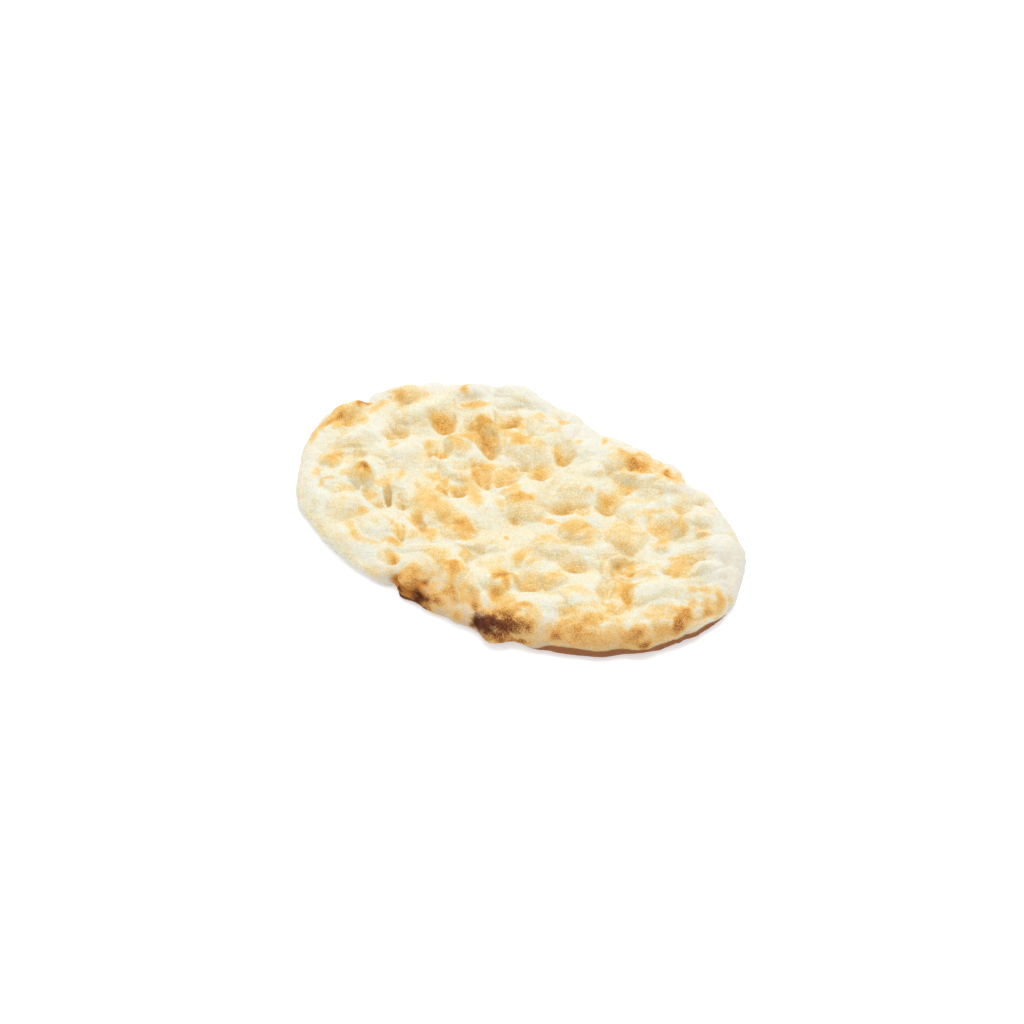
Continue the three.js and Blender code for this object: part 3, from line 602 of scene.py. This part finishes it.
def makeDough():
    points, faces, hollowShade, torn, turnUnder, onRim = joinRings(doughRings())
    print("dough skin:", len(points), "points,", len(faces), "triangles")

    normals = pointNormals(points, faces)
    points = points + normals * reliefHeight(points, turnUnder)[:, None]
    low, high = points.min(0), points.max(0)
    middle = (low[:2] + high[:2]) / 2
    centred = np.column_stack([points[:, :2] - middle, np.maximum(points[:, 2], 0)])

    ragged = patchLook["ragged"] * noiseAt(
        points, patchLook["raggedReach"], patchLook["raggedSeed"], patchLook["raggedOctaves"])
    layers = sideLayers(centred, torn, ragged, onRim)
    onTop = patchField(points, toasts, ragged)
    onSide = sidePatchField(points, rimToastsAndShade, ragged)
    layers["toast"] = 1 - (1 - onTop) * (1 - onSide)
    layers["char"] = np.maximum(layers["char"], sidePatchField(points, scorches, ragged))
    # painted shade in the hollows and on gentle slopes
    layers["hollowShade"] = hollowShade + paintedSlopeShade(normals)
    # the painted rim highlight stays off the toasted patches
    layers["rimHighlight"] = layers["rimHighlight"] * (1 - layers["toast"])

    mesh = bpy.data.meshes.new("pinsaDough")
    mesh.from_pydata((centred * mm).tolist(), [], faces.tolist())
    for name, values in layers.items():
        layer = mesh.attributes.new(name, "FLOAT", "POINT")
        layer.data.foreach_set("value", np.clip(values, 0, 1).astype(np.float32))
    mesh.polygons.foreach_set("use_smooth", np.ones(len(faces), dtype=bool))
    mesh.update()
    dough = bpy.data.objects.new("pinsaDough", mesh)
    bpy.context.scene.collection.objects.link(dough)
    print("dough box in mm:", centred.min(0).round(1), centred.max(0).round(1))
    return dough, middle


crustLook = {
    # how baked from 0 to 1, and the colour there
    "bake": [
        (0.00, (0.72, 0.757, 0.72)), (0.08, (0.74, 0.730, 0.60)), (0.15, (0.755, 0.68, 0.46)),
        (0.22, (0.77, 0.615, 0.33)), (0.34, (0.765, 0.54, 0.215)), (0.50, (0.74, 0.45, 0.13)),
        (0.66, (0.66, 0.35, 0.085)), (0.80, (0.50, 0.23, 0.055)), (0.91, (0.35, 0.13, 0.035)),
        (1.00, (0.21, 0.065, 0.020)),
    ],
    # what adds to it, with painted shade in the hollows and a painted highlight on the rim
    "plain": 0.07, "toast": 0.80, "hollowShade": 0.28, "rimHighlight": -0.10, "cloud": 0.22, "mottle": 0.22,
    "speckPlain": 0.07, "speckToasted": 0.15,
    # sizes in millimetres
    "cloudSize": 24, "mottleSize": 4.5, "flourSize": 0.8, "pinSize": 0.5,
    "flourRange": (0.34, 0.66),
    "flourSwing": 0.7,
    # a duller painted highlight on the rim and painted shade on the low near side, as tints
    "beige": (0.72, 0.63, 0.52), "beigeShare": 0.3,
    "lowSideShade": (0.56, 0.37, 0.18), "lowSideShadeShare": 0.75,
    "toastCovers": 0.9,  # of those two tints
    "pores": (0.76, 0.72, 0.66), "poreShare": 0.35,
    "inside": (0.50, 0.21, 0.040),
    "charMottle": 0.3, "charSpeck": 0.12,
    "charBrown": (0.11, 0.026, 0.009), "charBrownRange": (0.1, 1.0),
    "black": (0.03, 0.008, 0.005), "blackRange": (0.75, 1.3),
    # the browned underside, also used for the painted shadow under the scorched blister
    "soleAndShadow": (0.28, 0.112, 0.042), "soleAndShadowRange": (0.1, 0.9),
    "roughness": (0.70, 0.88), "roughnessRange": (0.3, 0.7),
    "specular": 0.15,
    "glow": 0.25, "glowColor": (1.0, 0.6, 0.3), "glowReach": 2.0,  # light that passes through the dough
    "bumpStrength": 0.9, "bumpHeight": 0.9, "pinBump": 0.5,
}


def addNode(tree, kind, **values):
    node = tree.nodes.new(kind)
    for name, value in values.items():
        if name in node.inputs:
            node.inputs[name].default_value = value
        else:
            setattr(node, name, value)
    return node


def addMix(tree, factor, a, b, blend="MIX"):
    mix = addNode(tree, "ShaderNodeMix", data_type="RGBA", blend_type=blend)
    tree.links.new(factor, mix.inputs[0])
    for socket, value in ((mix.inputs[6], a), (mix.inputs[7], b)):
        if isinstance(value, tuple):
            socket.default_value = (*value, 1)
        else:
            tree.links.new(value, socket)
    return mix.outputs[2]


def addMath(tree, operation, a, b=0.0, c=0.0):
    node = addNode(tree, "ShaderNodeMath", operation=operation)
    for socket, value in zip(node.inputs, (a, b, c)):
        if isinstance(value, (int, float)):
            socket.default_value = value
        else:
            tree.links.new(value, socket)
    return node.outputs[0]


def addRange(tree, value, low, high, toLow=0.0, toHigh=1.0):
    node = addNode(tree, "ShaderNodeMapRange", interpolation_type="SMOOTHSTEP")
    tree.links.new(value, node.inputs["Value"])
    for name, number in (("From Min", low), ("From Max", high), ("To Min", toLow), ("To Max", toHigh)):
        node.inputs[name].default_value = number
    return node.outputs[0]


def addRamp(tree, value, shades):
    ramp = addNode(tree, "ShaderNodeValToRGB")
    tree.links.new(value, ramp.inputs[0])
    stops = ramp.color_ramp.elements
    for k, (at, shade) in enumerate(shades):
        stop = stops[k] if k < len(stops) else stops.new(at)
        stop.position = at
        stop.color = (*shade, 1)
    return ramp.outputs[0]


def makeCrustMaterial():
    look = crustLook
    material = bpy.data.materials.new("bakedDough")
    material.use_nodes = True
    tree = material.node_tree
    shader = tree.nodes["Principled BSDF"]
    place = addNode(tree, "ShaderNodeTexCoord").outputs["Object"]

    def speck(size, detail=3.0, rough=0.6):
        node = addNode(tree, "ShaderNodeTexNoise", Scale=1 / (size * mm), Detail=detail, Roughness=rough)
        tree.links.new(place, node.inputs["Vector"])
        return node.outputs["Fac"]

    def layer(name):
        return addNode(tree, "ShaderNodeAttribute", attribute_name=name).outputs["Fac"]

    def addTo(total, value, share):
        return addMath(tree, "MULTIPLY_ADD", value, share, total)

    cloud = addMath(tree, "SUBTRACT", speck(look["cloudSize"], 2.0), 0.5)
    mottle = addMath(tree, "SUBTRACT", speck(look["mottleSize"]), 0.5)
    flour = speck(look["flourSize"], 2.0, 0.65)
    grainy = addRange(tree, flour, *look["flourRange"], -look["flourSwing"], look["flourSwing"])
    toast, hollowShade, rimHighlight = layer("toast"), layer("hollowShade"), layer("rimHighlight")

    # plain dough varies slowly; where it is toasted it breaks up into specks
    baked = addTo(look["plain"], toast, look["toast"])
    # painted shade in the hollows adds to the bake, the painted rim highlight takes from it
    for value, share in ((hollowShade, "hollowShade"), (rimHighlight, "rimHighlight"), (cloud, "cloud"), (mottle, "mottle")):
        baked = addTo(baked, value, look[share])
    speckle = addTo(look["speckPlain"], addMath(tree, "ADD", toast, hollowShade), look["speckToasted"])
    baked = addTo(baked, grainy, speckle)
    color = addRamp(tree, baked, look["bake"])

    # tints of the plain dough, which the toasted patches cover: a duller painted highlight on the rim and
    # painted shade on the low near side
    untoasted = addMath(tree, "MAXIMUM", addTo(1.0, toast, -look["toastCovers"]), 0.0)
    for value, share, tint in ((rimHighlight, "beigeShare", "beige"), (layer("lowSideShade"), "lowSideShadeShare", "lowSideShade")):
        factor = addMath(tree, "MULTIPLY", addMath(tree, "MULTIPLY", value, look[share]), untoasted)
        color = addMix(tree, factor, color, look[tint])

    # darker pores between the grains of flour
    porous = addRange(tree, flour, *look["flourRange"], 0.0, look["poreShare"])
    color = addMix(tree, porous, color, look["pores"], "MULTIPLY")
    color = addMix(tree, layer("inside"), color, look["inside"])
    charred = addTo(addTo(layer("char"), mottle, look["charMottle"]), grainy, look["charSpeck"])
    color = addMix(tree, addRange(tree, charred, *look["charBrownRange"]), color, look["charBrown"])
    color = addMix(tree, addRange(tree, charred, *look["blackRange"]), color, look["black"])
    # the browned lower edge, which under the scorched blister is also painted shadow
    color = addMix(tree, addRange(tree, layer("crustAndShadow"), *look["soleAndShadowRange"]), color, look["soleAndShadow"])
    tree.links.new(color, shader.inputs["Base Color"])

    rough = addRange(tree, flour, *look["roughnessRange"], *look["roughness"])
    tree.links.new(rough, shader.inputs["Roughness"])
    for name, value in (
        ("Specular IOR Level", look["specular"]),
        ("Subsurface Weight", look["glow"]),
        ("Subsurface Radius", look["glowColor"]),
        ("Subsurface Scale", look["glowReach"] * mm),
    ):
        shader.inputs[name].default_value = value

    bumps = addNode(tree, "ShaderNodeBump", Strength=look["bumpStrength"], Distance=look["bumpHeight"] * mm)
    tree.links.new(addTo(flour, speck(look["pinSize"], 2.0), look["pinBump"]), bumps.inputs["Height"])
    tree.links.new(bumps.outputs["Normal"], shader.inputs["Normal"])
    return material


dough, doughMiddle = makeDough()
dough.data.materials.append(makeCrustMaterial())
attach(dough, "root")
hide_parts("pinsa")
print("dough dressed")

studio = {
    "azimuth": 42, "elevation": 40, "distance": 1200, "lens": 71.72, "sensor": 36,
    "aim": (-4, 7, 0),  # from the middle of the plain oval
    "floorSide": 6000,
    "floorColor": (0.60, 0.65, 0.72),
    "floorRoughness": 0.9,
    "floorGlow": 0.50,  # a lit table
    "keyFrom": (-0.12, 0.20, 1.30), "keySide": 1200, "keyDistance": 1500, "keyPower": 15,
    "keyColor": (0.95, 0.98, 1.0),
    "worldColor": (1.02, 0.955, 0.87),
    "worldFrom": (-0.20, 0.18, 0.96),  # where the soft light is strongest
    "worldSpread": (-0.6, 1.0),
    "worldWeakest": 0.615, "worldStrongest": 1.075,
}


def lookFrom(obj, place, target):
    obj.location = place
    obj.rotation_euler = (target - place).to_track_quat("-Z", "Y").to_euler()


def addToScene(name, data):
    obj = bpy.data.objects.new(name, data)
    bpy.context.scene.collection.objects.link(obj)
    return obj


def makeCamera():
    azimuth, elevation = math.radians(studio["azimuth"]), math.radians(studio["elevation"])
    level = math.cos(elevation)
    back = Vector((math.sin(azimuth) * level, -math.cos(azimuth) * level, math.sin(elevation)))
    aim = Vector((studio["aim"][0] - doughMiddle[0], studio["aim"][1] - doughMiddle[1], 0)) * mm
    view = bpy.data.cameras.new("camera")
    view.lens = studio["lens"]
    view.sensor_width = studio["sensor"]
    camera = addToScene("camera", view)
    lookFrom(camera, aim + back * studio["distance"] * mm, aim)
    bpy.context.scene.camera = camera


def makeFloor():
    half = studio["floorSide"] / 2 * mm
    corners = [(-half, -half, 0), (half, -half, 0), (half, half, 0), (-half, half, 0)]
    mesh = bpy.data.meshes.new("floor")
    mesh.from_pydata(corners, [], [(0, 1, 2, 3)])
    floor = addToScene("floor", mesh)
    paint = bpy.data.materials.new("whitePaper")
    paint.use_nodes = True
    shader = paint.node_tree.nodes["Principled BSDF"]
    for name, value in (
        ("Base Color", (*studio["floorColor"], 1)),
        ("Roughness", studio["floorRoughness"]),
        ("Emission Color", (1, 1, 1, 1)),
        ("Emission Strength", studio["floorGlow"]),
    ):
        shader.inputs[name].default_value = value
    mesh.materials.append(paint)


def makeLights():
    lamp = bpy.data.lights.new("softKey", "AREA")
    lamp.size = studio["keySide"] * mm
    lamp.energy = studio["keyPower"]
    lamp.color = studio["keyColor"]
    key = addToScene("softKey", lamp)
    lookFrom(key, Vector(studio["keyFrom"]).normalized() * studio["keyDistance"] * mm, Vector((0, 0, 0)))

    # soft light from all around, strongest from one side
    world = bpy.data.worlds.new("studio")
    world.use_nodes = True
    tree = world.node_tree
    sky = tree.nodes["Background"]
    sky.inputs["Color"].default_value = (*studio["worldColor"], 1)
    towards = addNode(tree, "ShaderNodeVectorMath", operation="DOT_PRODUCT")
    tree.links.new(addNode(tree, "ShaderNodeTexCoord").outputs["Generated"], towards.inputs[0])
    towards.inputs[1].default_value = studio["worldFrom"]
    weakest, strongest = studio["worldWeakest"], studio["worldStrongest"]
    strength = addRange(tree, towards.outputs["Value"], *studio["worldSpread"], weakest, strongest)
    tree.links.new(strength, sky.inputs["Strength"])
    bpy.context.scene.world = world


makeCamera()
makeFloor()
makeLights()
bpy.context.scene.view_settings.view_transform = "Standard"
print("studio set")
